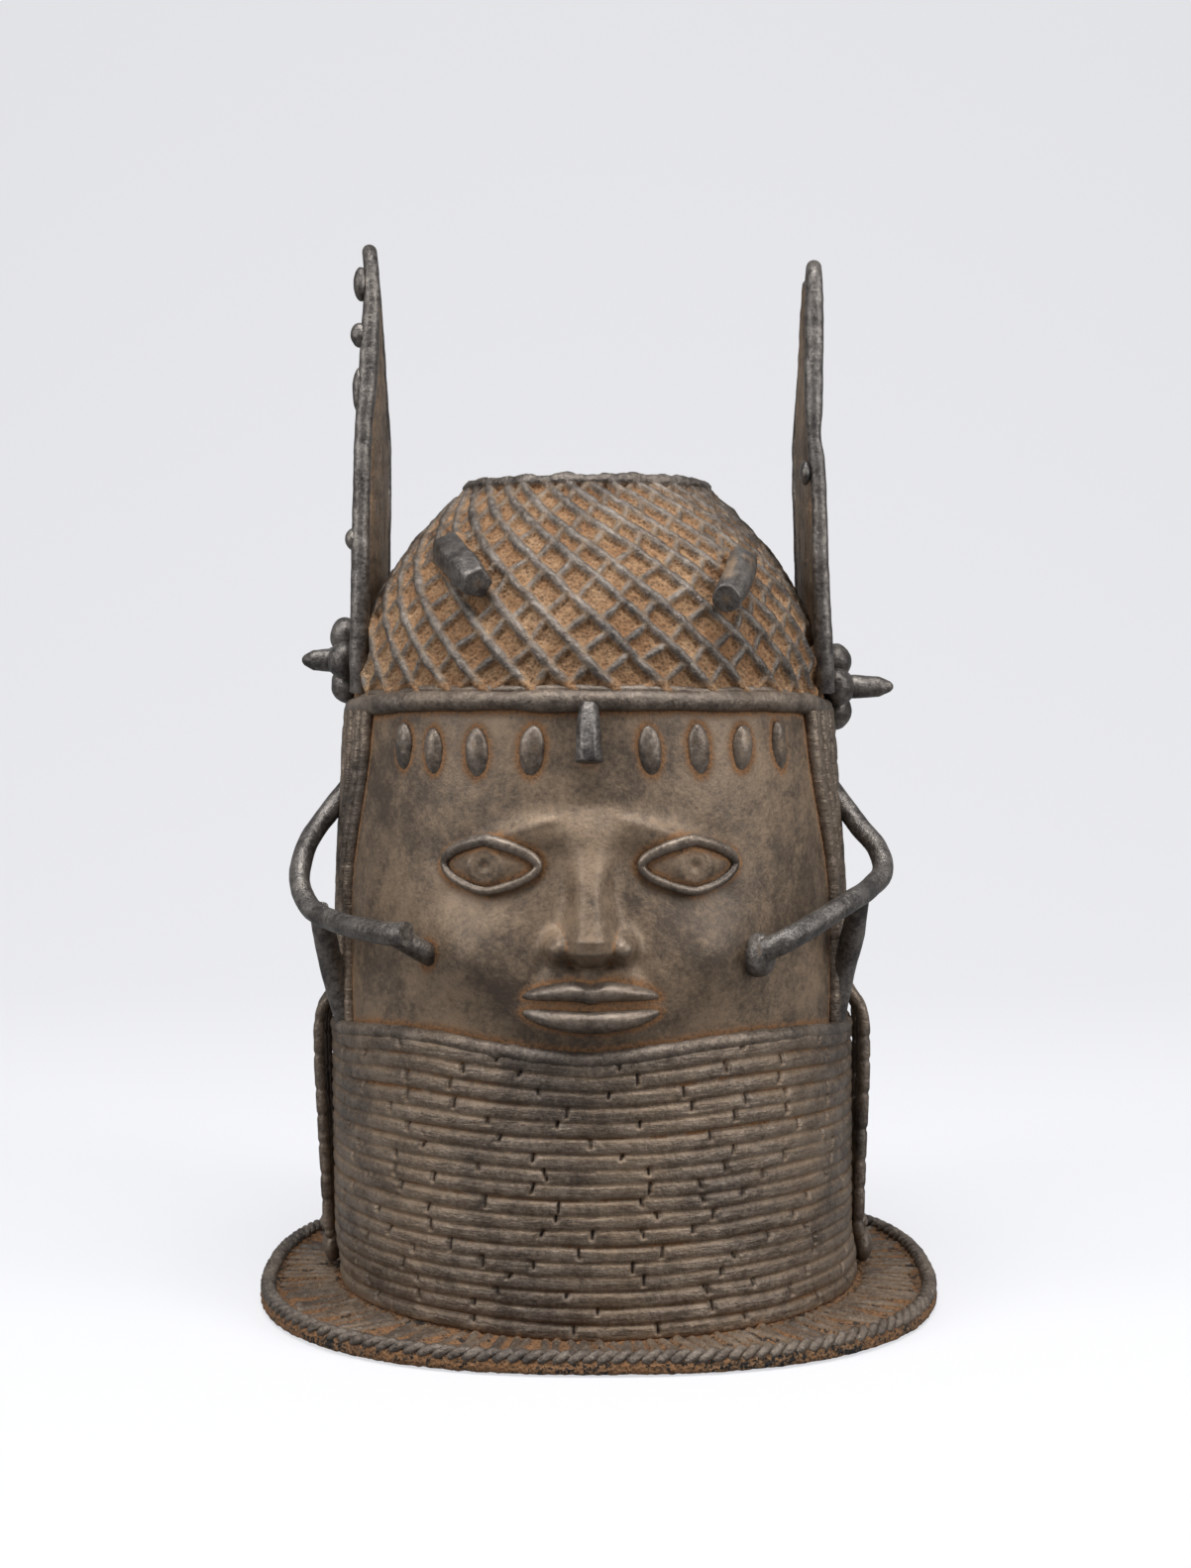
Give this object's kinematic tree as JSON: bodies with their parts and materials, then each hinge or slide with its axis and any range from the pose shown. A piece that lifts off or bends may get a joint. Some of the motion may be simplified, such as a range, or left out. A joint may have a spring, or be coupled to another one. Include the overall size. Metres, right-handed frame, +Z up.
{
  "type": "bronze king head",
  "caption": "Hollow cast head of a king: round flange, tall ridged collar, calm face, netted cap with upright wings, curved whisker rods at the cheeks and an open crown.",
  "frame": {"origin": "centre of the flange's underside, on the surface that the head stands on", "axes": "+Z up, -Y the way the face looks, +X the head's own left, which is the viewer's right"},
  "size_m": [0.306, 0.297, 0.467],
  "materials": {
    "bronze": "dark grey-brown patina, rubbed on the high points, with pale dust in the hollows"
  },
  "bodies": {
    "root": {"king_head": "bronze"}
  },
  "joints": []
}
